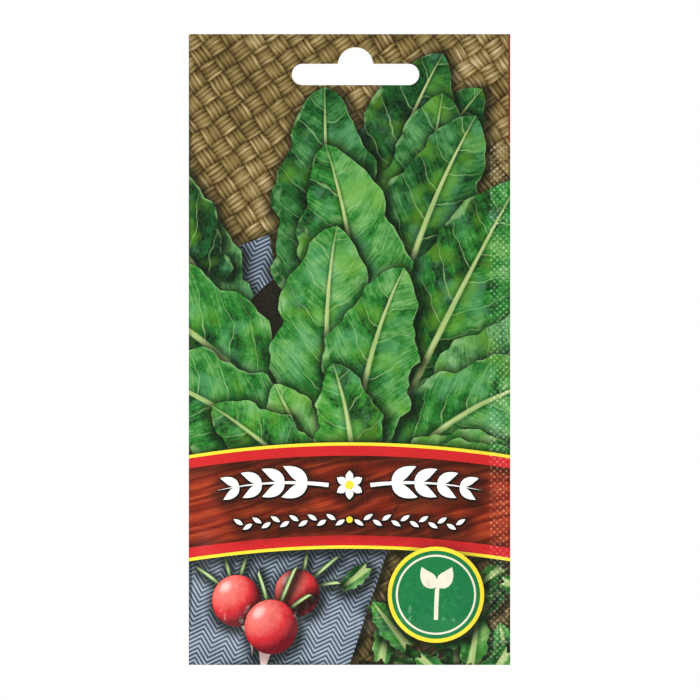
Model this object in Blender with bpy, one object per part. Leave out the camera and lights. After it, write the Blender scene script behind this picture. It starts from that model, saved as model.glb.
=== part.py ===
# A printed seed packet, hung by the slot in its header. One laminated sheet is folded on the
# left edge and heat-sealed on the other three sides, and loose three-sided seeds lie inside.
# Metres, +Z up. The front faces -Y. The origin is the hanging point: the top of the slot's
# round bump, halfway between the two layers.
import math
import random

import bmesh
import bpy
from mathutils import Euler, Matrix, Vector

# Driving dimensions of the flat packet
PACKET_W = 0.080
PACKET_H = 0.157
SHEET_T = 0.00015

# The hang slot: a bar with round ends and a round bump for the peg
SLOT_W = 0.0317
BAR_H = 0.0053
BUMP_R = 0.0044
BUMP_BELOW_TOP_EDGE = 0.0033
BAR_BELOW_TOP_EDGE = 0.0074
SLOT_RIGHT_OF_MIDDLE = 0.0015
SLOT_SIDES = 40

# Sealed margins, measured in from each edge of the sheet
HEADER_SEAL = 0.0225
BOTTOM_SEAL = 0.0070
RIGHT_SEAL = 0.0052
FOLD_MARGIN = 0.0010

# The hollow between the layers: its half depth over the seeds and in the slack part above,
# and how far in from each margin it reaches that depth
FULL_HALF = 0.00118
SLACK_HALF = 0.00042
SIDE_REACH = 0.0100
BOTTOM_REACH = 0.0065
TOP_REACH = 0.0280
SLACK_FROM = 0.0200
SLACK_RUN = 0.0350
COLUMNS = 22
ROWS = 34

# A hairline path through the bottom seal keeps the hollow open. It stands in from the fold by
# SIDE_REACH, where the hollow has its full depth.
VENT_W = 0.0016
VENT_T = 0.00010

# How far the cutters reach past the sheet on either side
CUTTER_REACH = 0.005

# The seeds: three-sided nutlets that have slid down to the bottom seal
SEED_LENGTH = 0.0023
SEED_WIDTH = 0.0015
SEED_PITCH = 0.0028
SEED_ROW_PITCH = 0.0022
SEED_CLEARANCE = 0.0003
HEAP_H = 0.0150
HEAP_END_SHARE = 0.72
HEAP_CORE_T = 0.0005
HEAP_CORE_INSET = 0.72
RANDOM_SEED = 11

TOP = BUMP_BELOW_TOP_EDGE
BOTTOM = TOP - PACKET_H
MIDDLE = -SLOT_RIGHT_OF_MIDDLE
LEFT = MIDDLE - PACKET_W / 2
RIGHT = MIDDLE + PACKET_W / 2
HOLLOW_LEFT = LEFT + FOLD_MARGIN
HOLLOW_RIGHT = RIGHT - RIGHT_SEAL
HOLLOW_BOTTOM = BOTTOM + BOTTOM_SEAL
HOLLOW_TOP = TOP - HEADER_SEAL


def clear_scene():
    for obj in list(bpy.data.objects):
        bpy.data.objects.remove(obj)


def new_collection(name, hidden=False):
    collection = bpy.data.collections.new(name)
    bpy.context.scene.collection.children.link(collection)
    collection.hide_render = hidden
    return collection


def material(name, color, roughness):
    made = bpy.data.materials.new(name)
    made.use_nodes = True
    shader = made.node_tree.nodes["Principled BSDF"]
    shader.inputs["Base Color"].default_value = (*color, 1)
    shader.inputs["Roughness"].default_value = roughness
    shader.inputs["Metallic"].default_value = 0
    return made


def object_from(bm, name, collection):
    bmesh.ops.recalc_face_normals(bm, faces=bm.faces)
    mesh = bpy.data.meshes.new(name)
    bm.to_mesh(mesh)
    bm.free()
    obj = bpy.data.objects.new(name, mesh)
    collection.objects.link(obj)
    return obj


def as_cutter(obj):
    obj.hide_render = True
    obj.display_type = "WIRE"
    return obj


# A sealed edge opens steeply at first, as paper does beside a seam
def rise(distance, reach):
    return math.sin(math.pi / 2 * min(max(distance / reach, 0), 1))


def ease(share):
    share = min(max(share, 0), 1)
    return share * share * (3 - 2 * share)


def hollow_half(x, z):
    """Half the distance between the layers, from the fold and the seals in."""
    across = rise(x - HOLLOW_LEFT, SIDE_REACH) * rise(HOLLOW_RIGHT - x, SIDE_REACH)
    along = rise(z - HOLLOW_BOTTOM, BOTTOM_REACH) * rise(HOLLOW_TOP - z, TOP_REACH)
    slack = ease((z - HOLLOW_BOTTOM - SLACK_FROM) / SLACK_RUN)
    return across * along * (FULL_HALF + (SLACK_HALF - FULL_HALF) * slack)


# Lines of the grid stand closer together beside the seams, where the sheet bends most
def spread(start, end, count):
    return [start + (end - start) * (1 - math.cos(math.pi * i / count)) / 2 for i in range(count + 1)]


def pillow(name, columns, rows, wall, collection):
    """A closed body between two grids, each the hollow's half depth plus wall from the middle."""
    bm = bmesh.new()
    for side in (-1, 1):
        made = bmesh.ops.create_grid(
            bm, x_segments=len(columns) - 1, y_segments=len(rows) - 1, size=0.5
        )
        for vertex in made["verts"]:
            x = columns[round((vertex.co.x + 0.5) * (len(columns) - 1))]
            z = rows[round((vertex.co.y + 0.5) * (len(rows) - 1))]
            vertex.co = Vector((x, side * (hollow_half(x, z) + wall), z))
    if wall:
        rims = [edge for edge in bm.edges if edge.is_boundary]
        bmesh.ops.bridge_loops(bm, edges=rims)
    else:
        bmesh.ops.remove_doubles(bm, verts=bm.verts, dist=1e-7)
    return object_from(bm, name, collection)


def box(name, low, high, collection):
    bm = bmesh.new()
    bmesh.ops.create_cube(bm, size=1)
    for vertex in bm.verts:
        vertex.co = Vector(
            (lo + (hi - lo) * (c + 0.5) for lo, hi, c in zip(low, high, vertex.co))
        )
    return object_from(bm, name, collection)


def rod_through(name, x, z, radius, collection):
    bm = bmesh.new()
    turn = Matrix.Translation((x, 0, z)) @ Matrix.Rotation(math.pi / 2, 4, "X")
    bmesh.ops.create_cone(
        bm, cap_ends=True, segments=SLOT_SIDES, radius1=radius, radius2=radius,
        depth=2 * CUTTER_REACH, matrix=turn,
    )
    return object_from(bm, name, collection)


def slot_cutters(collection):
    bar_top = TOP - BAR_BELOW_TOP_EDGE
    end_r = BAR_H / 2
    end_x = SLOT_W / 2 - end_r
    bar_z = bar_top - end_r
    box("slot_bar", (-end_x, -CUTTER_REACH, bar_top - BAR_H), (end_x, CUTTER_REACH, bar_top), collection)
    rod_through("slot_left_end", -end_x, bar_z, end_r, collection)
    rod_through("slot_right_end", end_x, bar_z, end_r, collection)
    rod_through("slot_bump", 0, -BUMP_R, BUMP_R, collection)


def hollow_cutters(collection):
    columns = spread(HOLLOW_LEFT, HOLLOW_RIGHT, COLUMNS)
    rows = spread(HOLLOW_BOTTOM, HOLLOW_TOP, ROWS)
    pillow("hollow", columns, rows, 0, collection)
    vent_x = HOLLOW_LEFT + SIDE_REACH
    box(
        "vent",
        (vent_x, -VENT_T / 2, BOTTOM - CUTTER_REACH),
        (vent_x + VENT_W, VENT_T / 2, HOLLOW_BOTTOM + BOTTOM_REACH / 2),
        collection,
    )


def make_packet(collection, cutters, paper):
    columns = [LEFT] + spread(HOLLOW_LEFT, HOLLOW_RIGHT, COLUMNS) + [RIGHT]
    rows = [BOTTOM] + spread(HOLLOW_BOTTOM, HOLLOW_TOP, ROWS) + [TOP]
    packet = pillow("folded_printed_sheet", columns, rows, SHEET_T, collection)
    packet.data.materials.append(paper)
    for name, cutting in cutters.items():
        cut = packet.modifiers.new(name, "BOOLEAN")
        cut.operand_type = "COLLECTION"
        cut.collection = cutting
        cut.operation = "DIFFERENCE"
        cut.solver = "EXACT"
    return packet


# Where a seed fits between the layers with room to spare
def fits(x, z, reach, half):
    corners = [(x + dx, z + dz) for dx in (-reach, reach) for dz in (-reach, reach)]
    return min(hollow_half(*corner) for corner in corners) > half + SEED_CLEARANCE


def heap_top(x):
    share = (x - HOLLOW_LEFT) / (HOLLOW_RIGHT - HOLLOW_LEFT)
    return HOLLOW_BOTTOM + HEAP_H * (HEAP_END_SHARE + (1 - HEAP_END_SHARE) * math.sin(math.pi * share))


def nutlet(name, place, turn, collection):
    bm = bmesh.new()
    bmesh.ops.create_uvsphere(bm, u_segments=3, v_segments=3, radius=0.5)
    size = Matrix.Diagonal((SEED_WIDTH, SEED_WIDTH, SEED_LENGTH, 1))
    bmesh.ops.transform(bm, matrix=Matrix.Translation(place) @ turn @ size, verts=bm.verts)
    return object_from(bm, name, collection)


def heap_core(collection):
    """A thin flat heart that the nutlets of the heap are sunk in, so they make one solid."""
    low = HOLLOW_BOTTOM + BOTTOM_REACH * HEAP_CORE_INSET
    side = SIDE_REACH * HEAP_CORE_INSET
    bm = bmesh.new()
    bmesh.ops.create_grid(bm, x_segments=12, y_segments=1, size=0.5)
    for vertex in bm.verts:
        x = HOLLOW_LEFT + side + (vertex.co.x + 0.5) * (HOLLOW_RIGHT - HOLLOW_LEFT - 2 * side)
        z = low if vertex.co.y < 0 else heap_top(x) - SEED_LENGTH / 2
        vertex.co = Vector((x, -HEAP_CORE_T / 2, z))
    lifted = bmesh.ops.extrude_face_region(bm, geom=bm.faces[:])["geom"]
    moved = [item for item in lifted if isinstance(item, bmesh.types.BMVert)]
    bmesh.ops.translate(bm, vec=(0, HEAP_CORE_T, 0), verts=moved)
    return object_from(bm, "loose_seeds", collection)


def make_seeds(collection, brown):
    draw = random.Random(RANDOM_SEED)
    heap = new_collection("seed_shapes", hidden=True)
    row, z = 0, HOLLOW_BOTTOM + SEED_ROW_PITCH
    while z < HOLLOW_BOTTOM + HEAP_H:
        x = HOLLOW_LEFT + SEED_PITCH * (1 + row % 2 / 2)
        while x < HOLLOW_RIGHT:
            reach = SEED_LENGTH / 2
            if fits(x, z, reach, SEED_WIDTH / 2) and z + reach < heap_top(x):
                lean = draw.uniform(0, math.pi)
                roll = draw.uniform(0, 2 * math.pi)
                turn = Matrix.Rotation(lean, 4, "Y") @ Euler((0, 0, roll)).to_matrix().to_4x4()
                side = draw.uniform(-1, 1) * HEAP_CORE_T / 4
                nutlet(f"nutlet_{row}", (x, side, z), turn, heap)
            x += SEED_PITCH
        row += 1
        z += SEED_ROW_PITCH
    seeds = heap_core(collection)
    seeds.data.materials.append(brown)
    join = seeds.modifiers.new("join", "BOOLEAN")
    join.operand_type = "COLLECTION"
    join.collection = heap
    join.operation = "UNION"
    join.solver = "EXACT"
    fused = bpy.data.meshes.new_from_object(
        seeds.evaluated_get(bpy.context.evaluated_depsgraph_get())
    )
    seeds.modifiers.clear()
    seeds.data = fused
    for shape in list(heap.objects):
        bpy.data.objects.remove(shape)
    bpy.data.collections.remove(heap)
    return seeds


def main():
    clear_scene()
    parts = new_collection("seed_packet")
    cutters = {
        "cut_hollow": new_collection("hollow_cutters", hidden=True),
        "cut_slot": new_collection("slot_cutters", hidden=True),
    }
    hollow_cutters(cutters["cut_hollow"])
    slot_cutters(cutters["cut_slot"])
    for collection in cutters.values():
        for obj in collection.objects:
            as_cutter(obj)
    paper = material("printed_laminate", (0.12, 0.22, 0.08), 0.35)
    brown = material("dry_seed", (0.13, 0.05, 0.02), 0.5)
    make_packet(parts, cutters, paper)
    make_seeds(parts, brown)


main()
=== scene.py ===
import math
import random
from collections import namedtuple

import bmesh
import bpy
import numpy as np
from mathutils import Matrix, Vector, kdtree
from mathutils.geometry import delaunay_2d_cdt


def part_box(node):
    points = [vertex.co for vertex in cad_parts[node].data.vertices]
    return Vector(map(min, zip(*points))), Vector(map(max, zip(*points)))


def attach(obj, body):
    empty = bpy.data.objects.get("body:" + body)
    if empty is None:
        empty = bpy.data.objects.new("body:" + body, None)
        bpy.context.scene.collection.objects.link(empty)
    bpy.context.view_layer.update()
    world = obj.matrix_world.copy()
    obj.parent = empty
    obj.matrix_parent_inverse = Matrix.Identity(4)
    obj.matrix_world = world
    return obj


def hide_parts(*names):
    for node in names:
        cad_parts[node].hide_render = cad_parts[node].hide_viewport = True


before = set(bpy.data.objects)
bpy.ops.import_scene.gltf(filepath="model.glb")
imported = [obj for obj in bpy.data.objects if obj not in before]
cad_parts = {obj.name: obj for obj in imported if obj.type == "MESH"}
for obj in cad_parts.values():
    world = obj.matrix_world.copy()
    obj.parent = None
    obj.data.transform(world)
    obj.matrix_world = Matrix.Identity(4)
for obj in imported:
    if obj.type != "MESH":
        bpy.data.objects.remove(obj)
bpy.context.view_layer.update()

# The page is drawn in millimetres from the packet's top left corner, with Y down
SHEET_LOW, SHEET_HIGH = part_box("folded_printed_sheet")
LEFT, TOP = SHEET_LOW[0], SHEET_HIGH[2]
MM = 0.001
PAGE_W = (SHEET_HIGH[0] - LEFT) / MM
PAGE_H = (TOP - SHEET_LOW[2]) / MM
MIDDLE_X = PAGE_W / 2

# The punched hang slot, as in the solid
SLOT_X = -LEFT / MM
SLOT_W, BAR_H, BAR_TOP = 31.7, 5.3, 7.4
BUMP_R, BUMP_TOP = 4.4, 3.3

# The pouch, as in the solid: layer thickness, sealed margins, depth and how fast it opens
LAYER = 0.15
HEADER_SEAL, BOTTOM_SEAL, RIGHT_SEAL, FOLD_MARGIN = 22.5, 7.0, 5.2, 1.0
FULL_HALF, SLACK_HALF = 1.18, 0.42
SIDE_REACH, BOTTOM_REACH, TOP_REACH = 10.0, 6.5, 28.0
SLACK_FROM, SLACK_RUN = 20.0, 35.0

# The knurled seal: rows of small raised dots, each row set over by half a pitch
KNURL_PITCH = 1.52
KNURL_FROM, KNURL_TO = PAGE_W - 4.7, PAGE_W - 0.35
DOT_R, DOT_H = 0.42, 0.09
KNURL_TOP = 27.0

# Fine shape of the paper over the seeds and beside the seams
SEED_BUMPS, SEED_BUMP_H, SEED_BUMP_R = 260, 0.15, 1.0
RIPPLE_H, PUCKER_H = 0.20, 0.17
MOST_DENT = 0.85
# Soft creases: a place on the page, the way each runs, its length, and its height in millimetres
CREASES = (
    (14, 44, 0.55, 30, 0.16), (63, 58, -0.7, 34, 0.15), (30, 84, -0.35, 30, -0.14),
    (60, 108, 0.5, 26, 0.13), (22, 120, 0.9, 22, -0.12), (46, 66, 1.2, 24, 0.10),
)
CREASE_W = 1.9

# The pale panel on the back
BACK_LEFT, BACK_RIGHT = 4.0, PAGE_W - 6.5
BACK_MIDDLE = (BACK_LEFT + BACK_RIGHT) / 2

# The board on the front: its edges at the middle of the page, how far its ends drop, and its trim
BOARD_TOP, BOARD_BOTTOM, BOARD_DROP = 101.6, 128.0, 3.2
RED_W, YELLOW_W = 3.3, 0.8
ORNAMENT_Y, ORNAMENT_OUTLINE = 112.2, 0.42
BADGE_X, BADGE_Y, BADGE_R = 61.5, 139.5, 12.0

# The fan of leaves: where it springs from, and how far a leaf may stray, in degrees and in bend
CROWN = (MIDDLE_X + 0.5, 118.0)
LEAN_STRAY, BEND_STRAY = 17, 0.5

# Shadows that motifs cast on each other in the picture
SHADOW_REACH, SHADOW_GAIN, SHADOW_FADE = 3.4, 1.25, 1.25
SHADOW_OFFSET = (0.5, 0.7)

# Spacing of the points that carry the paper's shape, and of the finer ones as far up as seeds lie
GRID_STEP, FINE_STEP = 1.3, 0.62
SEEDS_REACH = 17

# The glossy film over the print
FILM_SPECULAR, FILM_COAT_ROUGHNESS = 0.10, 0.17
FILM_BUMP, FILM_BUMP_DEPTH = 0.1, 0.00002

FRONT_SEED, BACK_SEED, BUMP_SEED = 3, 8, 20


def ink(red, green, blue):
    """A printed colour, given as screen values from 0 to 255, as linear light."""
    shares = [value / 255 for value in (red, green, blue)]
    return tuple(s / 12.92 if s <= 0.04045 else ((s + 0.055) / 1.055) ** 2.4 for s in shares)


def rise(distance, reach):
    return np.sin(np.pi / 2 * np.clip(distance / reach, 0, 1))


def ease(share):
    share = np.clip(share, 0, 1)
    return share * share * (3 - 2 * share)


def hollow_half(x, y):
    """Half the hollow's depth in millimetres at a place on the page."""
    from_bottom = PAGE_H - BOTTOM_SEAL - y
    across = rise(x - FOLD_MARGIN, SIDE_REACH) * rise(PAGE_W - RIGHT_SEAL - x, SIDE_REACH)
    along = rise(from_bottom, BOTTOM_REACH) * rise(y - HEADER_SEAL, TOP_REACH)
    slack = ease((from_bottom - SLACK_FROM) / SLACK_RUN)
    return across * along * (FULL_HALF + (SLACK_HALF - FULL_HALF) * slack)


def seed_places(draw):
    return [
        (draw.uniform(8, PAGE_W - 12), PAGE_H - BOTTOM_SEAL - draw.triangular(2.5, 16, 5))
        for _ in range(SEED_BUMPS)
    ]


def relief(x, y, side, bumps):
    """Small shape on top of the pouch: ripples, puckers at the seams, creases and seeds felt through."""
    half = hollow_half(x, y)
    openness = half / FULL_HALF
    ripple = np.sin(x * 0.27 + 1.3 * np.sin(y * 0.05) + side) * np.sin(y * 0.11 + x * 0.05 + 0.6)
    from_bottom = np.abs(PAGE_H - BOTTOM_SEAL - 5 - y)
    pucker = np.sin(x * 0.62 + 1.7 * np.sin(x * 0.13) + y * 0.02) * np.exp(-from_bottom / 8)
    for margin in (x - FOLD_MARGIN - 5, PAGE_W - RIGHT_SEAL - 5 - x):
        pucker = pucker + 0.7 * np.sin(y * 0.38 + 2.1 * np.sin(y * 0.09)) * np.exp(-np.abs(margin) / 4)
    height = RIPPLE_H * ripple + PUCKER_H * pucker
    for cx, cy, turn, length, rise_to in CREASES:
        along = (x - cx) * math.cos(turn) + (y - cy) * math.sin(turn)
        across = (y - cy) * math.cos(turn) - (x - cx) * math.sin(turn) - 0.006 * along ** 2
        ridge = np.sqrt(1 + (across / CREASE_W) ** 2)
        height = height + rise_to * np.exp(-(2 * along / length) ** 2) * (2 / (1 + ridge ** 2))
    height = height * np.clip(openness * 3, 0, 1)
    for bx, by in bumps:
        near = np.exp(-((x - bx) ** 2 + (y - by) ** 2) / (2 * (SEED_BUMP_R / 2) ** 2))
        height = height + SEED_BUMP_H * near * np.clip(openness * 1.4, 0, 1)
    return np.maximum(height, -MOST_DENT * half)


def knurl(x, y):
    """Height of the nearest raised dot of the knurled seal."""
    half = KNURL_PITCH / 2
    row = np.round(y / half)
    shift = (row % 2) * half
    column = np.round((x - KNURL_FROM - shift) / KNURL_PITCH)
    dot_x = KNURL_FROM + shift + column * KNURL_PITCH
    distance = np.hypot(x - dot_x, y - row * half)
    inside = (dot_x > KNURL_FROM - 0.1) & (dot_x < KNURL_TO) & (y > KNURL_TOP) & (y < PAGE_H - 1)
    return np.where(inside, DOT_H * np.clip(1 - (distance / DOT_R) ** 2, 0, 1), 0)


# Node writing. A Signal is one output of a node, and arithmetic on it adds the next node.
class Signal:
    def __init__(self, paint, socket):
        self.paint, self.socket = paint, socket

    def __add__(self, other):
        return self.paint.math("ADD", self, other)

    def __sub__(self, other):
        return self.paint.math("SUBTRACT", self, other)

    def __rsub__(self, other):
        return self.paint.math("SUBTRACT", other, self)

    def __mul__(self, other):
        return self.paint.math("MULTIPLY", self, other)

    def __truediv__(self, other):
        return self.paint.math("DIVIDE", self, other)

    def __abs__(self):
        return self.paint.math("ABSOLUTE", self)


def fill_ramp(node, stops):
    elements = node.color_ramp.elements
    while len(elements) < len(stops):
        elements.new(0.5)
    for element, (position, color) in zip(elements, stops):
        element.position = position
        element.color = (*color, 1)


class Paint:
    """One material of the print, written as formulas."""

    def __init__(self, name, roughness=0.42, coat=0.4):
        self.material = bpy.data.materials.new(name)
        self.material.use_nodes = True
        self.tree = self.material.node_tree
        self.shader = self.tree.nodes["Principled BSDF"]
        self.shader.inputs["Roughness"].default_value = roughness
        self.shader.inputs["Specular IOR Level"].default_value = FILM_SPECULAR
        self.shader.inputs["Coat Weight"].default_value = coat
        self.shader.inputs["Coat Roughness"].default_value = FILM_COAT_ROUGHNESS

    def node(self, kind, **settings):
        made = self.tree.nodes.new(kind)
        for name, value in settings.items():
            setattr(made, name, value)
        return made

    def put(self, socket, value):
        if isinstance(value, Signal):
            self.tree.links.new(value.socket, socket)
        elif isinstance(value, tuple) and len(value) == 3 and socket.type == "RGBA":
            socket.default_value = (*value, 1)
        else:
            socket.default_value = value

    def add(self, kind, given, output=0, **settings):
        """A node with its inputs given by name or place, as the signal of one output."""
        made = self.node(kind, **settings)
        for name, value in given.items():
            self.put(made.inputs[name], value)
        return Signal(self, made.outputs[output])

    def math(self, operation, *values):
        return self.add("ShaderNodeMath", dict(enumerate(values)), operation=operation)

    def step(self, value, low, high):
        """0 below low and 1 above high, eased between."""
        given = {"Value": value, "From Min": low, "From Max": high}
        return self.add("ShaderNodeMapRange", given, "Result", interpolation_type="SMOOTHSTEP")

    def vector(self, x, y, z=0.0):
        return self.add("ShaderNodeCombineXYZ", {0: x, 1: y, 2: z})

    def split(self, socket):
        made = self.node("ShaderNodeSeparateXYZ")
        self.tree.links.new(socket, made.inputs[0])
        return [Signal(self, output) for output in made.outputs]

    def place(self):
        """Page-wide X and Z in millimetres, on the object itself."""
        x, _, z = self.split(self.node("ShaderNodeTexCoord").outputs["Object"])
        return x * 1000, z * 1000

    def turned(self, degrees):
        """The same on axes turned by an angle."""
        x, z = self.place()
        lean = math.radians(degrees)
        return x * math.cos(lean) + z * math.sin(lean), z * math.cos(lean) - x * math.sin(lean)

    def uv(self, name):
        x, y, _ = self.split(self.node("ShaderNodeUVMap", uv_map=name).outputs[0])
        return x, y

    def tone(self):
        return self.split(self.node("ShaderNodeAttribute", attribute_name="tone").outputs["Vector"])

    def noise(self, vector, scale, detail=3.0, roughness=0.55):
        given = {"Vector": vector, "Scale": scale, "Detail": detail, "Roughness": roughness}
        return self.add("ShaderNodeTexNoise", given, "Fac")

    def cells(self, vector, scale):
        """Distance to the edge of the nearest cell of an irregular net."""
        given = {"Vector": vector, "Scale": scale}
        return self.add("ShaderNodeTexVoronoi", given, "Distance", feature="DISTANCE_TO_EDGE")

    def ramp(self, share, stops):
        made = self.node("ShaderNodeValToRGB")
        fill_ramp(made, stops)
        self.put(made.inputs["Fac"], share)
        return Signal(self, made.outputs["Color"])

    def mix(self, share, first, second):
        # The colour sockets come after those for numbers and vectors
        return self.add("ShaderNodeMix", {0: share, 6: first, 7: second}, 2, data_type="RGBA")

    def shaded(self, color, strength=0.94):
        """The colour with the shadow that motifs above it cast in the picture."""
        _, _, shade = self.tone()
        return self.mix(shade * strength, color, ink(5, 14, 4))

    def highlight_knurl_dots(self, color):
        """The colour with a painted highlight on the dots of the knurl, here and there, standing in for
        the glint of the raised dots.
        """
        dots = self.add("ShaderNodeAttribute", {}, "Alpha", attribute_name="tone")
        x, z = self.place()
        # Patches where the painted highlight on the dots shows
        highlight_patches = self.step(self.noise(self.vector(x, z), 0.45, 2.0), 0.34, 0.62) * 0.7 + 0.3
        # A brighter copy of the ink, the colour of the painted highlight
        pale = self.add("ShaderNodeGamma", {"Color": color, "Gamma": 0.5})
        return self.mix(self.step(dots, 0.0, 0.8) * highlight_patches, color, pale)

    def finish(self, color, printed=True):
        """Colour on the shader, with the film's faint unevenness; printed inks also get the painted
        highlight on the knurl's dots.
        """
        self.put(self.shader.inputs["Base Color"], self.highlight_knurl_dots(color) if printed else color)
        x, z = self.place()
        height = self.noise(self.vector(x, z), 0.9, 2.0)
        given = {"Strength": FILM_BUMP, "Distance": FILM_BUMP_DEPTH, "Height": height}
        self.put(self.shader.inputs["Normal"], self.add("ShaderNodeBump", given))
        return self.material


def leaf_ink(name, dark, middle, light):
    """Crinkled green blade: paired side veins, a fine net, a cool sheen and a pale midrib."""
    paint = Paint(name)
    along, across = paint.uv("local")
    share, edge = paint.uv("unit")
    bright, side, _ = paint.tone()
    out = abs(across)
    flat = paint.vector(along, across, bright * 40)
    wander = paint.noise(flat, 0.10, 2.0) - 0.5
    half_step = paint.math("GREATER_THAN", across, 0.0) * 0.5
    climb = out * 0.55 + out * out * 0.035
    phase = paint.math("FRACT", (along - climb + wander * 9) / 8.2 + half_step + 20)
    ridge = abs(phase - 0.5) * 2
    thin = 1 - abs(edge) * 0.7
    vein = paint.step(ridge, 0.93, 1.0) * thin
    halo = paint.step(ridge, 0.6, 0.95) * thin
    fold = paint.math("SINE", phase * (2 * math.pi)) * thin
    crinkle = paint.noise(flat, 0.34, 5.0, 0.68) - 0.5
    ribbed = paint.vector((along - climb) * 1.5, across * 0.3, bright * 40)
    pleat = paint.noise(ribbed, 1.0, 4.0, 0.6) - 0.5
    broad = paint.noise(flat, 0.07, 2.0) - 0.5
    half_blade = (paint.step(across, -0.8, 0.8) - 0.5) * (side - 0.5)
    level = bright + half_blade * 0.85 + broad * 1.1 + crinkle * 1.2 + pleat * 0.9
    level = level + fold * 0.17 - halo * 0.12
    glare = tuple(0.45 * part + 0.55 * share for part, share in zip(light, ink(186, 214, 150)))
    green = paint.ramp(level * 0.67, [(0.11, dark), (0.34, middle), (0.62, light), (0.9, glare)])
    sheen = paint.step(paint.noise(flat, 0.13, 3.0), 0.50, 0.68)
    green = paint.mix(sheen * 0.4, green, ink(96, 168, 116))
    sunny = paint.step(paint.noise(paint.vector(across, along, side * 30), 0.09, 2.0), 0.52, 0.68)
    green = paint.mix(sunny * 0.5, green, ink(98, 158, 32))
    net = 1 - paint.step(paint.cells(flat, 0.85), 0.02, 0.2)
    green = paint.mix(net * 0.09, green, light)
    green = paint.mix(vein * 0.72, green, ink(160, 200, 128))
    rib_half = 1.05 - share * 0.85
    rib = (1 - paint.step(out / rib_half, 0.5, 1.15)) * (1 - paint.step(share, 0.82, 1.0) * 0.8)
    groove = paint.step(out / rib_half, 0.8, 1.2) * (1 - paint.step(out / rib_half, 1.4, 3.2))
    green = paint.mix(groove * 0.45, green, dark)
    stripe = paint.noise(paint.vector(along * 0.08, across * 2.4), 1.0, 3.0)
    rib_color = paint.ramp(stripe, [(0.3, ink(134, 172, 88)), (0.7, ink(204, 214, 150))])
    green = paint.mix(rib * 0.9, green, rib_color)
    patches = paint.step(paint.noise(flat, 0.3, 2.0), 0.4, 0.6)
    rim = paint.step(abs(edge), 0.94, 1.0) * patches
    green = paint.mix(rim * 0.55, green, ink(150, 196, 126))
    return paint.finish(paint.shaded(green))


def stalk_ink():
    """Pale juicy stalk, lit down its middle."""
    paint = Paint("stalk_ink")
    along, across = paint.uv("local")
    _, edge = paint.uv("unit")
    streak = paint.noise(paint.vector(along * 0.1, across * 2.2), 1.0, 3.0)
    level = 1 - abs(edge - 0.15) * 0.9 + (streak - 0.5) * 0.5
    greens = [(0.1, ink(70, 112, 52)), (0.5, ink(138, 178, 98)), (0.95, ink(214, 224, 176))]
    return paint.finish(paint.shaded(paint.ramp(level, greens)))


def weave_ink():
    """Basket weave: bundles of split straw over and under each other, lying aslant."""
    paint = Paint("weave_ink")
    x, z = paint.place()
    along, across = paint.turned(34)
    wobble = (paint.noise(paint.vector(x, z), 0.12, 2.0) - 0.5) * 1.6
    a, b = (along + wobble) / 4.4 + 200, (across + wobble) / 4.4 + 200
    fa, fb = paint.math("FRACT", a), paint.math("FRACT", b)
    floors = paint.math("FLOOR", a), paint.math("FLOOR", b)
    odd = paint.math("MODULO", floors[0] + floors[1], 2.0)
    run = odd * fa + (1 - odd) * fb
    cross = odd * fb + (1 - odd) * fa
    bend = paint.math("POWER", paint.math("SINE", run * math.pi), 0.5)
    strand = abs(paint.math("SINE", cross * (4 * math.pi)))
    tint = paint.noise(paint.vector(floors[0] * 7.3, floors[1] * 5.1, cross * 3), 1.0, 1.0) - 0.5
    fibre = paint.noise(paint.vector(run * 1.2, cross * 16, floors[0] * 3.7), 1.0, 3.0) - 0.5
    broad = paint.noise(paint.vector(x, z), 0.05) - 0.5
    level = bend * 0.42 + strand * 0.24 + tint * 0.55 + fibre * 0.7 + broad * 0.5 + 0.03
    straw = [
        (0.12, ink(34, 22, 8)), (0.4, ink(92, 74, 36)),
        (0.64, ink(140, 120, 72)), (0.92, ink(212, 188, 146)),
    ]
    return paint.finish(paint.shaded(paint.ramp(level, straw), 0.9))


def herringbone_ink():
    """Blue-grey cloth: slanting ribs that turn back at every column."""
    paint = Paint("herringbone_ink")
    x, z = paint.place()
    along, across = paint.turned(-17)
    a, b = along / 3.1 + 200, across / 1.25 + 200
    turn = paint.math("PINGPONG", a, 1.0)
    rib = abs(paint.math("FRACT", b + turn * 2.3) - 0.5) * 2
    thread = paint.noise(paint.vector(x, z), 3.0, 2.0)
    crease = paint.noise(paint.vector(x * 0.6, z), 0.08, 2.0) - 0.5
    level = paint.step(rib, 0.25, 0.75) * 0.62 + thread * 0.3 + crease * 0.7
    blues = [(0.1, ink(49, 60, 74)), (0.5, ink(106, 120, 136)), (0.95, ink(184, 196, 208))]
    return paint.finish(paint.shaded(paint.ramp(level, blues), 0.9))


def wood_ink():
    """Reddish board: long wavering grain that climbs to the right, fine lines and dark pores."""
    paint = Paint("wood_ink")
    along, across = paint.turned(14)
    warp = paint.noise(paint.vector(along * 0.02, across * 0.09), 1.0, 3.0) * 9
    rings = paint.math("SINE", (across * 0.6 + warp * 1.4) * 3.4) * 0.5 + 0.5
    fibre = paint.noise(paint.vector(along * 0.05, across * 3.4 + warp * 0.4), 1.0, 4.0, 0.7)
    lines = paint.step(paint.noise(paint.vector(along * 0.03, across * 7), 1.0, 2.0), 0.46, 0.7)
    pores = paint.step(paint.noise(paint.vector(along * 0.3, across * 9), 1.0, 2.0), 0.62, 0.72)
    level = rings * 0.3 + fibre * 0.8 + lines * 0.2 - pores * 0.2 - 0.04
    wood = [
        (0.12, ink(58, 10, 4)), (0.4, ink(118, 30, 12)),
        (0.66, ink(158, 52, 24)), (0.94, ink(204, 96, 52)),
    ]
    return paint.finish(paint.shaded(paint.ramp(level, wood), 0.75))


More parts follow.
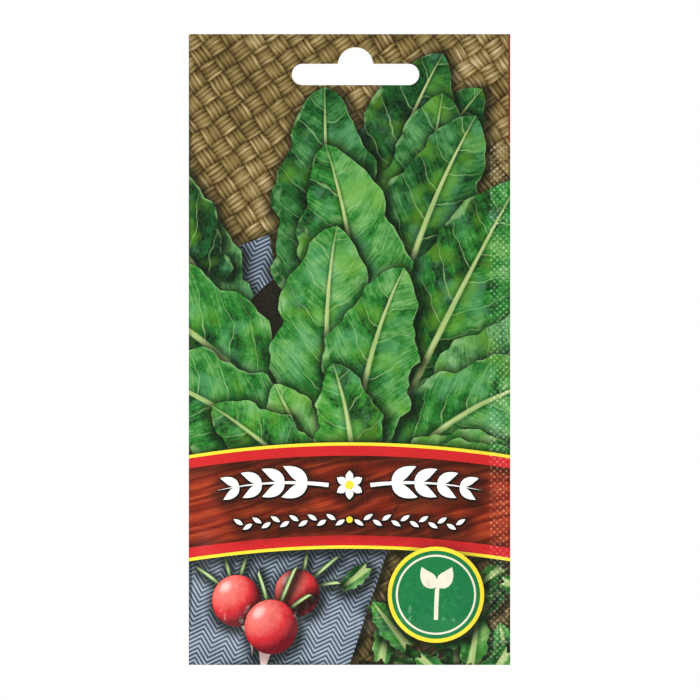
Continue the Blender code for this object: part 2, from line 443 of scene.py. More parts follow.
def radish_ink():
    """A round red root, lit from the upper left."""
    paint = Paint("radish_ink")
    u, v = paint.uv("unit")
    x, y = paint.uv("local")
    depth = paint.math("SQRT", paint.math("MAXIMUM", 1 - u * u - v * v, 0.0))
    lit = depth * 0.62 - u * 0.42 - v * 0.5
    spots = paint.noise(paint.vector(x, y), 0.9, 3.0) - 0.5
    reds = [(0.0, ink(104, 12, 24)), (0.45, ink(206, 44, 50)), (0.85, ink(240, 120, 110))]
    skin = paint.ramp(lit + spots * 0.3, reds)
    gleam = paint.step(lit, 0.84, 0.93)
    return paint.finish(paint.shaded(paint.mix(gleam * 0.75, skin, ink(255, 236, 230))))


def flat_ink(name, color, speckle):
    """A plain printed colour with the faint mottle of ink on paper."""
    paint = Paint(name)
    x, z = paint.place()
    mottle = paint.noise(paint.vector(x, z), 1.4, 3.0)
    darker = tuple(c * (1 - speckle) for c in color)
    lighter = tuple(min(c * (1 + speckle) + 0.004, 1) for c in color)
    return paint.finish(paint.shaded(paint.ramp(mottle, [(0.3, darker), (0.7, lighter)]), 0.5))


def paper_edge():
    """The cut edge of the laminated paper."""
    paint = Paint("paper_edge", roughness=0.7, coat=0.0)
    x, z = paint.place()
    fibre = paint.noise(paint.vector(x, z), 6.0, 3.0)
    return paint.finish(paint.ramp(fibre, [(0.3, ink(214, 212, 204)), (0.7, ink(246, 245, 240))]))


def arc(x, y, radius, start, end, count):
    turns = [start + (end - start) * i / count for i in range(count + 1)]
    return [(x + radius * math.cos(t), y + radius * math.sin(t)) for t in turns]


# Motifs. Each is an outline on the page with its ink and a way to find places along and across it.
class Motif:
    def __init__(self, outline, ink_name, tone=(0.5, 0.5), casts=False):
        self.outline, self.ink_name, self.tone, self.casts = outline, ink_name, tone, casts

    def locate(self, points):
        return np.zeros((len(points), 4))


class Disc(Motif):
    def __init__(self, x, y, radius, ink_name, squash=1.0, **more):
        turns = [2 * math.pi * i / 56 for i in range(56)]
        ring = [(x + radius * math.cos(t), y + radius * squash * math.sin(t)) for t in turns]
        super().__init__(ring, ink_name, **more)
        self.middle, self.reach = np.array((x, y)), np.array((radius, radius * squash))

    def locate(self, points):
        away = points - self.middle
        return np.hstack([away, away / self.reach])


class Strip(Motif):
    """A shape along a bending midline: half_width(share) gives its margin on the given side."""

    SAMPLES = 90

    def __init__(self, start, heading, length, bend, half_width, ink_name, lobes=(), steps=44, **more):
        shares = np.linspace(0, 1, self.SAMPLES)
        headings = heading + bend * shares
        ahead = np.stack([np.sin(headings), -np.cos(headings)], axis=1)
        hop = length / (self.SAMPLES - 1)
        moved = np.cumsum((ahead[:-1] + ahead[1:]) / 2 * hop, axis=0)
        self.midline = np.vstack([start, np.array(start) + moved])
        self.ahead = ahead
        self.length, self.half_width = length, half_width
        margin = {}
        for side in (-1, 1):
            points = [(along, side * out) for along, out in lobes]
            points += [(t * length, side * half_width(t, side)) for t in np.linspace(0, 1, steps)]
            margin[side] = points
        drawn = margin[1] + margin[-1][::-1][1:]
        super().__init__([self.point(*place) for place in drawn], ink_name, **more)

    def point(self, along, across):
        position = np.clip(along / self.length, 0, 1) * (self.SAMPLES - 1)
        index = min(int(position), self.SAMPLES - 2)
        part = position - index
        middle = self.midline[index] * (1 - part) + self.midline[index + 1] * part
        ahead = self.ahead[index]
        past = along - np.clip(along, 0, self.length)
        right = np.array((-ahead[1], ahead[0]))
        return tuple(middle + ahead * past + right * across)

    def locate(self, points):
        away = points[:, None, :] - self.midline[None, :, :]
        nearest = np.argmin((away ** 2).sum(axis=2), axis=1)
        ahead = self.ahead[nearest]
        away = away[np.arange(len(points)), nearest]
        along = nearest * self.length / (self.SAMPLES - 1) + (away * ahead).sum(axis=1)
        across = away[:, 1] * ahead[:, 0] - away[:, 0] * ahead[:, 1]
        share = np.clip(along / self.length, 0, 1)
        widths = np.array([max(self.half_width(s, 1), 0.3) for s in share])
        return np.stack([along, across, share, np.clip(across / widths, -1, 1)], axis=1)


def blade_profile(width, draw):
    """A broad tongue with waved margins, each side waved its own way."""
    waves = {side: (draw.uniform(0, 1), draw.uniform(0, 1), draw.uniform(2.4, 3.8)) for side in (-1, 1)}

    def half_width(share, side):
        first, second, count = waves[side]
        body = math.sin(math.pi * (0.14 + 0.86 * share) ** 0.95) ** 0.6 if share < 1 else 0
        wave = 0.095 * math.sin(2 * math.pi * (count * share + first))
        wave += 0.04 * math.sin(2 * math.pi * (7.3 * share + second))
        wave += 0.02 * math.sin(2 * math.pi * (13.7 * share + first * 3))
        return width / 2 * body * (1 + wave)

    return half_width


def leaf(start, heading, length, width, bend, tone, draw, ink_name):
    lobes = [(0, width * 0.03), (-length * 0.055, width * 0.10), (-length * 0.10, width * 0.20),
             (-length * 0.085, width * 0.29), (-length * 0.03, width * 0.325)]
    return Strip(
        start, heading, length, bend, blade_profile(width, draw), ink_name,
        lobes=lobes, tone=tone, casts=True,
    )


def stalk(start, heading, length, bend, thick):
    return Strip(
        start, heading, length, bend, lambda share, _: thick * (0.62 - 0.2 * share),
        "stalk_ink", steps=14, casts=True,
    )


def tuft(draw):
    """The fan of leaves that rises from behind the board, back row first."""
    rows = (
        # leaves, half spread in degrees, stalk length, blade length, width, brightness, ink,
        # and which leaf shows its pale underside
        (8, 70, 62, 56, 25, 0.36, "leaf_back_ink", 2),
        (9, 80, 44, 60, 26, 0.42, "leaf_back_ink", 7),
        (8, 68, 28, 62, 27, 0.48, "leaf_ink", 5),
        (6, 56, 12, 54, 25, 0.54, "leaf_ink", 4),
        (6, 78, 3, 34, 17, 0.58, "leaf_front_ink", 0),
    )
    motifs = []
    for count, spread, stem, length, width, bright, ink_name, turned in rows:
        order = list(range(count))
        draw.shuffle(order)
        for index in order:
            aim = -spread + 2 * spread * index / (count - 1)
            lean = math.radians(aim + draw.uniform(-LEAN_STRAY, LEAN_STRAY))
            bend = 0.35 * math.sin(lean) + draw.uniform(-BEND_STRAY, BEND_STRAY)
            reach = stem * draw.uniform(0.86, 1.12)
            foot = (CROWN[0] + 9 * math.sin(lean), CROWN[1])
            stem_piece = stalk(foot, lean * 0.55, reach, lean * 0.45, draw.uniform(2.4, 3.1))
            top = stem_piece.midline[-1]
            tone = (bright + draw.uniform(-0.13, 0.17), draw.uniform(0, 1))
            size = draw.uniform(0.9, 1.1)
            shown = "leaf_under_ink" if index == turned else ink_name
            blade = leaf(tuple(top), lean, length * size, width * size, bend, tone, draw, shown)
            motifs += [stem_piece, blade]
    return motifs


def band(edge_top, edge_bottom, ink_name, casts=False):
    """A board across the page between two curved edges."""
    xs = np.linspace(-2, PAGE_W + 2, 60)
    top = [(x, edge_top(x)) for x in xs]
    bottom = [(x, edge_bottom(x)) for x in xs[::-1]]
    return Motif(top + bottom, ink_name, casts=casts)


def board():
    """A wooden board with red and yellow edges and a white ornament."""
    def arch(level):
        return lambda x: level + BOARD_DROP * ((x - MIDDLE_X) / MIDDLE_X) ** 2

    motifs = [
        band(arch(BOARD_TOP), arch(BOARD_BOTTOM), "wood_ink", casts=True),
        band(arch(BOARD_TOP), arch(BOARD_TOP + RED_W), "red_ink", casts=True),
        band(arch(BOARD_TOP), arch(BOARD_TOP + YELLOW_W), "yellow_ink"),
        band(arch(BOARD_BOTTOM - RED_W), arch(BOARD_BOTTOM), "red_ink", casts=True),
        band(arch(BOARD_BOTTOM - YELLOW_W), arch(BOARD_BOTTOM), "yellow_ink"),
    ]
    return motifs + outlined(board_ornament(ORNAMENT_Y), ORNAMENT_OUTLINE)


def lens(half, power):
    """Margin of a leaflet or petal, pointed at both ends and widest nearer its foot for a low power."""
    return lambda share, _: half * math.sin(math.pi * share ** power) + 0.02


def board_ornament(middle_y):
    """Two white sprigs and a flower, with a braid of leaflets below."""
    motifs = []
    for side in (-1, 1):
        motifs += sprig(MIDDLE_X + side * 5.2, middle_y, 28, side, "white_ink", 7.4)
    middle, petal = (MIDDLE_X, middle_y), lens(0.95, 1.3)
    for index in range(6):
        motifs.append(Strip(middle, index * math.pi / 3, 3.6, 0.0, petal, "white_ink", steps=12))
    motifs.append(Disc(*middle, 1.1, "yellow_ink"))
    row_y = middle_y + 8.6
    for index in range(1, 13):
        lean = 0.55 if index % 2 else -0.55
        y = row_y + 1.5 * (index / 13) ** 2
        for side in (-1, 1):
            foot = (MIDDLE_X + side * index * 2.3 - side * 1.1, y)
            heading = side * (math.pi / 2 + lean)
            motifs.append(Strip(foot, heading, 2.7, 0.0, lens(0.52, 0.9), "white_ink", steps=10))
    motifs.append(Disc(MIDDLE_X, row_y, 0.8, "yellow_ink"))
    return motifs


def outlined(motifs, by):
    """The motifs over dark copies of themselves, grown on every side and set a little down."""
    dark = []
    for motif in motifs:
        ends = np.array(turned_one_way(motif.outline))
        along = np.roll(ends, -1, axis=0) - np.roll(ends, 1, axis=0)
        along /= np.maximum(np.linalg.norm(along, axis=1), 1e-9)[:, None]
        grown = ends + by * np.stack([along[:, 1], -along[:, 0]], axis=1) + (0.1, 0.18)
        dark.append(Motif([tuple(point) for point in grown], "dark_ink", casts=True))
    return dark + motifs


def sprig(x, y, length, side, ink_name, leaf_length):
    """A bending stem with paired leaflets, to the right or left."""
    heading, bend = side * (math.pi / 2 - 0.12), side * 0.34
    line = Strip(
        (x, y), heading, length, bend, lambda share, _: 0.5 * (1.05 - share), ink_name, steps=20,
    )
    motifs = [line]
    count = int(length / (leaf_length * 0.72))
    for index in range(1, count):
        share = index / count
        place = tuple(line.midline[int(share * (line.SAMPLES - 1))])
        size = leaf_length * (1.1 - 0.5 * share)
        margin = lens(size * 0.2, 0.8)
        for turn in (-1, 1):
            aside = heading + bend * share + turn * 0.8
            motifs.append(Strip(place, aside, size, -turn * 0.5, margin, ink_name, steps=12))
    return motifs


def badge(x, y, radius):
    """A round sign with a seedling."""
    rings = ((0, "yellow_ink"), (1.0, "label_green_ink"), (2.0, "cream_ink"), (2.5, "label_green_ink"))
    motifs = [Disc(x, y, radius - inset, ink_name, casts=not inset) for inset, ink_name in rings]
    return motifs + seedling(x, y + radius * 0.52, radius * 0.8, "cream_ink")


def radish(x, y, radius, lean, draw):
    """A round root with its tail and three cut stems."""
    root = Strip(
        (x + radius * 0.7 * math.sin(lean + math.pi), y - radius * 0.7 * math.cos(lean + math.pi)),
        lean + math.pi, radius * 1.6, draw.uniform(-0.7, 0.7),
        lambda s, _: radius * 0.3 * (1 - s) ** 1.6 + 0.06, "root_ink", steps=14, casts=True,
    )
    stems = [
        Strip(
            (x, y), lean + turn, radius * reach, turn * 0.8,
            lambda s, _: 0.55 - 0.15 * s, "stalk_ink", steps=12, casts=True,
        )
        for turn, reach in ((-0.35, 2.2), (0.1, 2.5), (0.45, 2.0))
    ]
    return [root] + stems + [Disc(x, y, radius, "radish_ink", squash=1.04, casts=True)]


def table(draw):
    """What lies below the board: cloth, small leaves and radishes."""
    cloth = Motif([(-2, 122), (50, 127), (39, 160), (-2, 160)], "herringbone_ink", casts=True)
    motifs = [cloth]
    for _ in range(34):
        start = (draw.uniform(44, 80), draw.uniform(132, 160))
        size = draw.uniform(8, 14)
        tone = (draw.uniform(0.4, 0.7), draw.uniform(0, 1))
        heading, bend = draw.uniform(-2.6, 2.6), draw.uniform(-0.5, 0.5)
        motifs.append(leaf(start, heading, size, size * 0.5, bend, tone, draw, "leaf_front_ink"))
    for x, y, radius, lean in ((27, 139, 5.6, 0.7), (12, 141, 6.2, -0.4), (20.5, 147.5, 6.6, 0.25)):
        motifs += radish(x, y, radius, lean, draw)
    return motifs


def front_page():
    """Weave and cloth, the fan of leaves behind the board, and the badge on top."""
    draw = random.Random(FRONT_SEED)
    cloth_left = Motif([(-2, 58), (20, 50), (31, 112), (-2, 116)], "herringbone_ink", casts=True)
    cloth_right = Motif([(58, 66), (84, 60), (84, 114), (52, 112)], "herringbone_ink", casts=True)
    page = Motif([(0, 0), (PAGE_W, 0), (PAGE_W, PAGE_H), (0, PAGE_H)], "weave_ink")
    depth = Disc(MIDDLE_X, 92, 34, "depth_ink", squash=1.1)
    motifs = [page, cloth_left, cloth_right, depth]
    motifs += tuft(draw) + table(draw) + board() + badge(BADGE_X, BADGE_Y, BADGE_R)
    lap = PAGE_W - 0.45
    edge = [(lap, -1), (PAGE_W + 1, -1), (PAGE_W + 1, KNURL_TOP), (lap, KNURL_TOP)]
    return motifs + [Motif(edge, "edge_ink")]


def rounded_panel(x0, y0, x1, y1, radius, ink_name, **more):
    outline = []
    for x, y, quarter in (
        (x1 - radius, y0 + radius, -1), (x1 - radius, y1 - radius, 0),
        (x0 + radius, y1 - radius, 1), (x0 + radius, y0 + radius, 2),
    ):
        start = quarter * math.pi / 2
        outline += arc(x, y, radius, start, start + math.pi / 2, 8)
    return Motif(outline, ink_name, **more)


def pictograms(y):
    """Three round signs: sun, water and a seedling in soil."""
    motifs = []
    places = [BACK_MIDDLE + step * 21 for step in (-1, 0, 1)]
    for x in places:
        motifs += [Disc(x, y, 8.6, "label_green_ink"), Disc(x, y, 7.9, "pale_green_ink")]
    sun, water, soil = places
    for index in range(10):
        turn = index * math.pi / 5
        foot = (sun + 3.4 * math.sin(turn), y - 3.4 * math.cos(turn))
        motifs.append(Strip(foot, turn, 2.8, 0.0, lambda s, _: 0.55 * (1 - s) + 0.04, "sun_ink", steps=4))
    motifs.append(Disc(sun, y, 2.9, "sun_ink"))

    def drop(share, _):
        return 3.3 * math.sin(math.pi * share ** 0.62) ** 0.8 * (1 - share) ** 0.25 + 0.02

    motifs.append(Strip((water, y + 4.6), 0.0, 10.0, 0.0, drop, "water_ink", steps=26))
    motifs.append(Motif(arc(soil, y, 7.3, 0.3, math.pi - 0.3, 14), "wood_ink"))
    return motifs + seedling(soil, y + 3.4, 7.0, "label_green_ink")


def seedling(x, y, height, ink_name):
    """A stem with two seed leaves."""
    motifs = [Strip((x, y), 0.0, height, 0.1, lambda s, _: height * 0.055, ink_name, steps=6)]
    fork, margin = (x + 0.2, y - height * 0.86), lens(height * 0.19, 0.75)
    for side in (-1, 1):
        motifs.append(Strip(fork, side, height * 0.66, -side * 0.7, margin, ink_name, steps=14))
    return motifs


def calendar(y):
    """Twelve cells a row: when to sow above, when to pick below."""
    motifs = []
    cell = (BACK_RIGHT - BACK_LEFT - 8) / 12
    rows = (((6, 7, 8), "label_green_ink"), ((2, 3, 4, 5, 6), "red_ink"))
    for row, (marked, ink_name) in enumerate(rows):
        for index in range(12):
            x0 = BACK_LEFT + 4 + index * cell
            y0 = y + row * 8
            shown = ink_name if index in marked else "pale_green_ink"
            motifs.append(rounded_panel(x0 + 0.3, y0, x0 + cell - 0.3, y0 + 6.6, 0.8, shown))
    return motifs


def back_page(rim):
    """Wood to the edge, and a pale panel with a bunch of leaves, three signs and a sowing calendar."""
    draw = random.Random(BACK_SEED)
    motifs = [Motif(rim, "wood_ink")]
    for side in (-1, 1):
        motifs += outlined(sprig(BACK_MIDDLE + side * 3, 18.6, 26, side, "white_ink", 5.6), 0.3)
    motifs.append(rounded_panel(BACK_LEFT, 24.5, BACK_RIGHT, PAGE_H - 7.5, 4, "yellow_ink", casts=True))
    motifs.append(rounded_panel(BACK_LEFT + 0.7, 25.2, BACK_RIGHT - 0.7, PAGE_H - 8.2, 3.3, "cream_ink"))
    foot = (BACK_MIDDLE, 82)
    for lean in (-58, 55, -36, 38, -14, 16, 0):
        lean = math.radians(lean + draw.uniform(-3, 3))
        stem_piece = stalk(foot, lean * 0.5, 15, lean * 0.5, 1.9)
        tone = (0.5 + draw.uniform(-0.1, 0.14), draw.uniform(0, 1))
        top, bend = tuple(stem_piece.midline[-1]), draw.uniform(-0.2, 0.2)
        blade = leaf(top, lean, 33 - 5 * abs(lean), 14.5, bend, tone, draw, "leaf_front_ink")
        motifs += [stem_piece, blade]
    tie = (BACK_MIDDLE - 3.4, 77.2)
    motifs.append(Strip(tie, math.pi / 2, 6.8, 0.0, lambda s, _: 0.9, "sun_ink", steps=6, casts=True))
    return motifs + pictograms(99) + calendar(114) + seed_row(141)


def seed_row(y):
    """A furrow with seeds at even spacing and the plants that come of them."""
    motifs = [rounded_panel(BACK_LEFT + 4, y - 3, BACK_RIGHT - 4, y + 4.5, 1.2, "wood_ink")]
    for index in range(7):
        x = BACK_LEFT + 10 + index * (BACK_RIGHT - BACK_LEFT - 20) / 6
        motifs.append(Disc(x, y, 0.75, "yellow_ink", squash=1.3))
        motifs += seedling(x, y - 2.6, 3.2 + 0.45 * (6 - index), "label_green_ink")
    return motifs


def slot_outline():
    """The hang slot: a bar with round ends, and a round bump for the peg."""
    end_r = BAR_H / 2
    end_x = SLOT_W / 2 - end_r
    middle = BAR_TOP + end_r
    bump_y = BUMP_TOP + BUMP_R
    opened = math.asin((bump_y - BAR_TOP) / BUMP_R)

    right = arc(SLOT_X + end_x, middle, end_r, math.pi / 2, -math.pi / 2, 24)
    bump = arc(SLOT_X, bump_y, BUMP_R, -opened, -math.pi + opened, 36)
    left = arc(SLOT_X - end_x, middle, end_r, -math.pi / 2, -3 * math.pi / 2, 24)
    return right + bump + left


def spare_points():
    """Points between the motifs that carry the paper's shape: two grids, and the knurl's dots."""
    points = []
    columns, rows = int(PAGE_W / GRID_STEP), int(PAGE_H / GRID_STEP)
    for row in range(1, rows):
        for column in range(1, columns):
            x = column * PAGE_W / columns + (row % 2 - 0.5) * 0.5
            y = row * PAGE_H / rows
            if x < KNURL_FROM - 0.5 or y < KNURL_TOP:
                points.append((x, y))
    y = PAGE_H - BOTTOM_SEAL - SEEDS_REACH
    while y < PAGE_H - BOTTOM_SEAL + 1:
        x = 2.0
        while x < PAGE_W - 8:
            points.append((x + 0.3, y + 0.3))
            x += FINE_STEP
        y += FINE_STEP
    half = KNURL_PITCH / 2
    for row in range(int(KNURL_TOP / half), int(PAGE_H / half) - 1):
        x = KNURL_FROM + (row % 2) * half
        while x < KNURL_TO:
            points.append((x, row * half))
            for radius in (DOT_R * 0.55, DOT_R):
                for turn in range(8):
                    angle = turn * math.pi / 4 + radius
                    points.append((x + radius * math.cos(angle), row * half + radius * math.sin(angle)))
            x += KNURL_PITCH
    return points


def inside(points, outline):
    """Which points lie inside a closed outline."""
    x, y = points[:, 0], points[:, 1]
    found = np.zeros(len(points), bool)
    ends = np.array(outline)
    for (x0, y0), (x1, y1) in zip(ends, np.roll(ends, -1, axis=0)):
        if y0 == y1:
            continue
        crosses = (y0 > y) != (y1 > y)
        found ^= crosses & (x < (x1 - x0) * (y - y0) / (y1 - y0) + x0)
    return found


def turned_one_way(outline):
    """The outline with its area positive, as the triangulation expects."""
    ends = np.array(outline)
    ahead = np.roll(ends, -1, axis=0)
    area = (ends[:, 0] * ahead[:, 1] - ahead[:, 0] * ends[:, 1]).sum()
    return outline if area > 0 else outline[::-1]


def partition(motifs, slot):
    """Triangles of the page, each with the index of the motif on top of it."""
    spare = np.array(spare_points())
    spare = spare[~inside(spare, slot)]
    points, faces = [], []
    for outline in [slot] + [motif.outline for motif in motifs]:
        faces.append(list(range(len(points), len(points) + len(outline))))
        points.extend(turned_one_way(outline))
    points.extend(map(tuple, spare))
    found = delaunay_2d_cdt([Vector(p) for p in points], [], faces, 0, 1e-5, True)
    places = np.array([tuple(p) for p in found[0]])
    triangles, tops = [], []
    for face, covering in zip(found[2], found[5]):
        # Index 0 is the slot, and 1 is the page itself
        if 1 in covering and 0 not in covering:
            triangles.append(list(face))
            tops.append(max(covering) - 1)
    used, triangles = np.unique(np.array(triangles), return_inverse=True)
    return places[used], triangles.reshape(-1, 3), np.array(tops)


def tree_of(places):
    """A search tree over places on the page."""
    tree = kdtree.KDTree(len(places))
    for i, (x, y) in enumerate(places):
        tree.insert((x, y, 0), i)
    tree.balance()
    return tree


def shadow_of(motifs, places, triangles, tops):
    """How far each triangle corner lies in the shadow of a motif drawn above it."""
    corners = places[triangles.reshape(-1)]
    below = np.repeat(tops, 3)
    shade = np.zeros(len(corners))
    for index, motif in enumerate(motifs):
        if not motif.casts:
            continue
        ends = np.array(motif.outline) + SHADOW_OFFSET
        low, high = ends.min(axis=0) - SHADOW_REACH, ends.max(axis=0) + SHADOW_REACH
        near = (below < index) & (corners > low).all(axis=1) & (corners < high).all(axis=1)
        chosen = np.nonzero(near)[0]
        if not len(chosen):
            continue
        hops = np.roll(ends, -1, axis=0) - ends
        pieces = np.maximum(1, np.ceil(np.hypot(*hops.T) / 0.5)).astype(int)
        dense = np.vstack([e + h * np.arange(n)[:, None] / n for e, h, n in zip(ends, hops, pieces)])
        tree = tree_of(dense)
        covered = inside(corners[chosen], ends)
        for i, hidden in zip(chosen, covered):
            distance = 0 if hidden else tree.find((*corners[i], 0))[2]
            nearness = max(0, 1 - distance / SHADOW_REACH)
            shade[i] = max(shade[i], min(1, SHADOW_GAIN * nearness ** SHADOW_FADE))
    return shade


Face = namedtuple("Face", "places points normals triangles slots located tones")


def layer(motifs, slot, side, bumps, inks):
    """One printed face of the packet: its points, triangles and what the inks read from it."""
    places, triangles, tops = partition(motifs, slot)
    x, y = places[:, 0], places[:, 1]

    def height(px, py):
        return hollow_half(px, py) + LAYER + relief(px, py, side, bumps) + (-side) * knurl(px, py)

    depth = height(x, y)
    points = np.stack([LEFT + x * MM, side * depth * MM, TOP - y * MM], axis=1)
    nudge = 0.03
    slope_x = (height(x + nudge, y) - height(x - nudge, y)) / (2 * nudge)
    slope_y = (height(x, y + nudge) - height(x, y - nudge)) / (2 * nudge)
    normals = np.stack([-slope_x, np.full_like(x, side), slope_y], axis=1)
    normals /= np.linalg.norm(normals, axis=1)[:, None]
    if side < 0:
        triangles = triangles[:, ::-1]
    corners = places[triangles.reshape(-1)]
    owners = np.repeat(tops, 3)
    located = np.zeros((len(corners), 4))
    tones = np.zeros((len(corners), 4))
    # The fourth channel holds each corner's share of a knurl dot's height, which the printed inks use for
    # their painted highlight
    tones[:, 3] = knurl(corners[:, 0], corners[:, 1]) / DOT_H
    for index, motif in enumerate(motifs):
        mine = np.nonzero(owners == index)[0]
        if len(mine):
            located[mine] = motif.locate(corners[mine])
            tones[mine, 0], tones[mine, 1] = motif.tone
    tones[:, 2] = shadow_of(motifs, places, triangles, tops)
    slots = np.array([inks.index(motifs[top].ink_name) for top in tops])
    return Face(places, points, normals, triangles, slots, located, tones)


def rim_loops(triangles):
    """Closed loops of the open edges of a triangle mesh, in the faces' own direction."""
    ends = np.vstack([triangles[:, [0, 1]], triangles[:, [1, 2]], triangles[:, [2, 0]]])
    directed = set(map(tuple, ends.tolist()))
    following = {a: b for a, b in directed if (b, a) not in directed}
    loops = []
    while following:
        start, at = following.popitem()
        loop = [start]
        while at != start:
            loop.append(at)
            at = following.pop(at)
        loops.append(loop)
    return loops


def walls_between(front, back, loops):
    """Wall triangles from each open edge of the front to the nearest points of the back."""
    tree = tree_of(back.places)
    walls = []
    for loop in loops:
        matched = [tree.find((*front.places[i], 0))[1] + len(front.points) for i in loop]
        for i in range(len(loop)):
            j = (i + 1) % len(loop)
            walls.append((loop[j], loop[i], matched[i]))
            walls.append((loop[j], matched[i], matched[j]))
    return np.array([wall for wall in walls if len(set(wall)) == 3])


def build_sheet(materials):
    """The packet as one closed skin: both printed faces and the cut edges between them."""
    inks = list(materials)
    bumps = {side: seed_places(random.Random(BUMP_SEED + side)) for side in (-1, 1)}
    front = layer(front_page(), slot_outline(), -1, bumps[-1], inks)
    loops = sorted(rim_loops(front.triangles), key=lambda loop: np.ptp(front.places[loop][:, 1]))
    hole, rim = [[tuple(front.places[i]) for i in loop] for loop in loops]
    back = layer(back_page(rim), hole, 1, bumps[1], inks)
    walls = walls_between(front, back, loops)
    corners = len(walls) * 3
    points = np.vstack([front.points, back.points])
    triangles = np.vstack([front.triangles, back.triangles + len(front.points), walls])
    at_fold = points[walls][:, :, 0].max(axis=1) < LEFT + 0.01 * MM
    wall_slots = np.where(at_fold, inks.index("fold_ink"), inks.index("paper_edge"))
    slots = np.concatenate([front.slots, back.slots, wall_slots])
    located = np.vstack([front.located, back.located, np.zeros((corners, 4))])
    tones = np.vstack([front.tones, back.tones, np.tile((0.5, 0.5, 0, 0), (corners, 1))])
    mesh = bpy.data.meshes.new("printed_sheet")
    mesh.from_pydata(points.tolist(), [], triangles.tolist())
    for material in materials.values():
        mesh.materials.append(material)
    mesh.polygons.foreach_set("material_index", slots.astype(np.int32))
    for name, columns in (("local", (0, 1)), ("unit", (2, 3))):
        uv = mesh.uv_layers.new(name=name)
        uv.data.foreach_set("uv", located[:, columns].astype(np.float32).reshape(-1))
    tone = mesh.color_attributes.new("tone", "FLOAT_COLOR", "CORNER")
    tone.data.foreach_set("color", tones.astype(np.float32).reshape(-1))
    mesh.shade_smooth()
    normals = np.vstack([front.normals, back.normals])[triangles.reshape(-1)]
    # A zero normal leaves the walls' own shading as it is
    normals[-corners:] = 0
    mesh.normals_split_custom_set(normals.tolist())
    sheet = bpy.data.objects.new("printed_sheet", mesh)
    bpy.context.scene.collection.objects.link(sheet)
    return sheet


# Shadow, middle and light of each leaf ink
LEAF_INKS = {
    "leaf_back_ink": ((2, 32, 10), (22, 88, 32), (84, 144, 80)),
    "leaf_ink": ((2, 40, 10), (30, 118, 36), (116, 172, 96)),
    "leaf_front_ink": ((4, 54, 12), (48, 136, 40), (138, 186, 104)),
    "leaf_under_ink": ((36, 98, 44), (92, 152, 84), (150, 194, 132)),
}

# Colour and mottle of each plain ink
FLAT_INKS = {
    "root_ink": ((232, 196, 190), 0.12),
    "red_ink": ((204, 36, 38), 0.07),
    "yellow_ink": ((248, 224, 56), 0.05),
    "label_green_ink": ((22, 120, 64), 0.12),
    "pale_green_ink": ((206, 226, 190), 0.03),
    "cream_ink": ((236, 230, 206), 0.03),
    "white_ink": ((250, 248, 242), 0.02),
    "sun_ink": ((240, 178, 44), 0.12),
    "water_ink": ((70, 140, 190), 0.12),
    "dark_ink": ((26, 12, 8), 0.3),
    "edge_ink": ((122, 40, 30), 0.4),
    "depth_ink": ((34, 30, 20), 0.5),
    "fold_ink": ((74, 92, 46), 0.3),
}


def make_inks():
    made = {"weave_ink": weave_ink(), "herringbone_ink": herringbone_ink(), "wood_ink": wood_ink()}
    for name, tones in LEAF_INKS.items():
        made[name] = leaf_ink(name, *(ink(*tone) for tone in tones))
    made["stalk_ink"] = stalk_ink()
    made["radish_ink"] = radish_ink()
    for name, (color, speckle) in FLAT_INKS.items():
        made[name] = flat_ink(name, ink(*color), speckle)
    made["paper_edge"] = paper_edge()
    return made


def seed_coat():
    """Glossy brown seed coat, mottled."""
    paint = Paint("dry_seed_coat", roughness=0.38, coat=0.1)
    x, z = paint.place()
    mottle = paint.noise(paint.vector(x, z), 1.6, 4.0)
    return paint.finish(
        paint.ramp(mottle, [(0.3, ink(62, 32, 18)), (0.55, ink(108, 62, 36)), (0.8, ink(150, 98, 62))]),
        printed=False,
    )


def soft_light(name, place, width, height, power):
    lamp = bpy.data.lights.new(name, "AREA")
    lamp.shape = "RECTANGLE"
    lamp.size, lamp.size_y = width, height
    lamp.energy = power
    made = bpy.data.objects.new(name, lamp)
    made.location = place
    aim = Vector((MIDDLE_X * MM + LEFT, 0, TOP - PAGE_H / 2 * MM)) - made.location
    made.rotation_euler = aim.to_track_quat("-Z", "Y").to_euler()
    bpy.context.scene.collection.objects.link(made)


FLOOR_DROP, FLOOR_HALF = 0.65, 3.05
TUBE_X, TUBE_REACH, TUBE_W, TUBE_H = (-0.46, -0.37), 0.83, 0.016, 0.5
# Brightness of the room from the photographer's side, 0, to the wall behind the packet, 1
ROOM_LIGHT = ((0.0, 0.25), (0.06, 0.28), (0.15, 0.56), (0.35, 0.60), (0.7, 1.0))


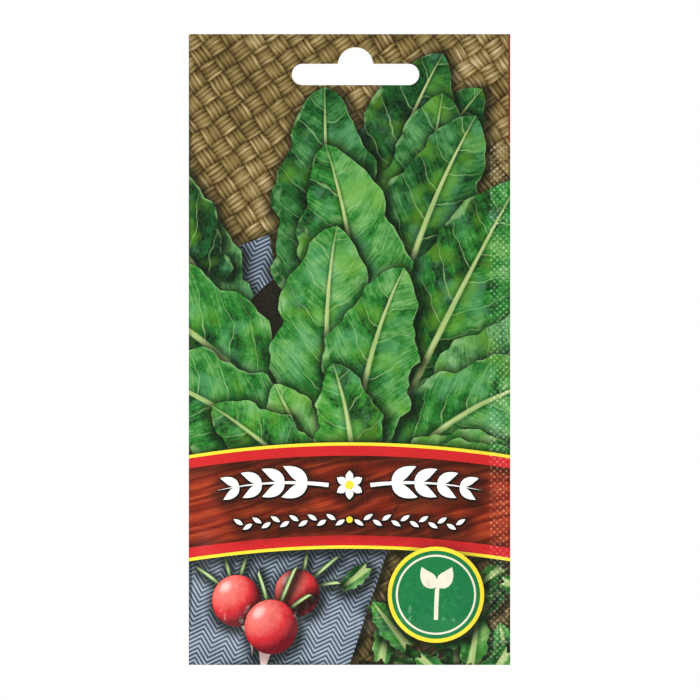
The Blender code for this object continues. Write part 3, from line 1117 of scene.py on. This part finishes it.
def stage():
    """White surroundings, as in a catalogue picture, over a pale floor well below."""
    world = bpy.data.worlds.new("white_room")
    bpy.context.scene.world = world
    world.use_nodes = True
    tree = world.node_tree
    toward = tree.nodes.new("ShaderNodeTexCoord")
    parts = tree.nodes.new("ShaderNodeSeparateXYZ")
    share = tree.nodes.new("ShaderNodeMapRange")
    share.inputs["From Min"].default_value = -1.0
    fade = tree.nodes.new("ShaderNodeValToRGB")
    fill_ramp(fade, [(place, (level, level, level)) for place, level in ROOM_LIGHT])
    background = tree.nodes["Background"]
    tree.links.new(toward.outputs["Generated"], parts.inputs[0])
    tree.links.new(parts.outputs["Y"], share.inputs["Value"])
    tree.links.new(share.outputs["Result"], fade.inputs["Fac"])
    tree.links.new(fade.outputs["Color"], background.inputs["Color"])
    bm = bmesh.new()
    bmesh.ops.create_grid(bm, x_segments=4, y_segments=4, size=FLOOR_HALF)
    floor_mesh = bpy.data.meshes.new("pale_floor")
    bm.to_mesh(floor_mesh)
    bm.free()
    floor = bpy.data.objects.new("pale_floor", floor_mesh)
    floor.location = (0, 0, TOP - FLOOR_DROP)
    paint = Paint("floor_paint", roughness=0.9, coat=0.0)
    floor_mesh.materials.append(paint.finish((0.86, 0.86, 0.86), printed=False))
    bpy.context.scene.collection.objects.link(floor)
    soft_light("softbox_left", (-0.65, -0.62, 0.25), 0.4, 0.4, 3.8)
    soft_light("softbox_right", (0.75, -0.6, 0.35), 0.4, 0.4, 1.3)
    # Narrow tubes low on both sides, whose gloss shows the film's waves from an angle
    for index, x in enumerate(TUBE_X):
        soft_light(f"tube_left_{index}", (x, -TUBE_REACH - x, -0.34), TUBE_W, TUBE_H, 1.0)
        soft_light(f"tube_behind_{index}", (-x, TUBE_REACH + x, -0.23), TUBE_W, TUBE_H, 0.6)
    bpy.context.scene.view_settings.view_transform = "Standard"


def aim_camera():
    """Straight on from the front, at the photograph's scale."""
    focal, sensor, packet_pixels, frame_pixels = 200, 36, 321.4, 700
    seen = PAGE_W * MM * frame_pixels / packet_pixels
    camera_data = bpy.data.cameras.new("camera")
    camera_data.lens = focal
    camera_data.sensor_width = sensor
    camera = bpy.data.objects.new("camera", camera_data)
    pixel = seen / frame_pixels
    camera.location = (
        LEFT + PAGE_W / 2 * MM + 0.5 * pixel, -seen * focal / sensor, TOP - PAGE_H / 2 * MM - 0.5 * pixel
    )
    camera.rotation_euler = (math.pi / 2, 0, 0)
    bpy.context.scene.collection.objects.link(camera)
    bpy.context.scene.camera = camera


def dress_packet():
    sheet = build_sheet(make_inks())
    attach(sheet, "root")
    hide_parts("folded_printed_sheet")
    seeds = bpy.data.objects["loose_seeds"]
    seeds.data.materials.clear()
    seeds.data.materials.append(seed_coat())


aim_camera()
stage()
dress_packet()
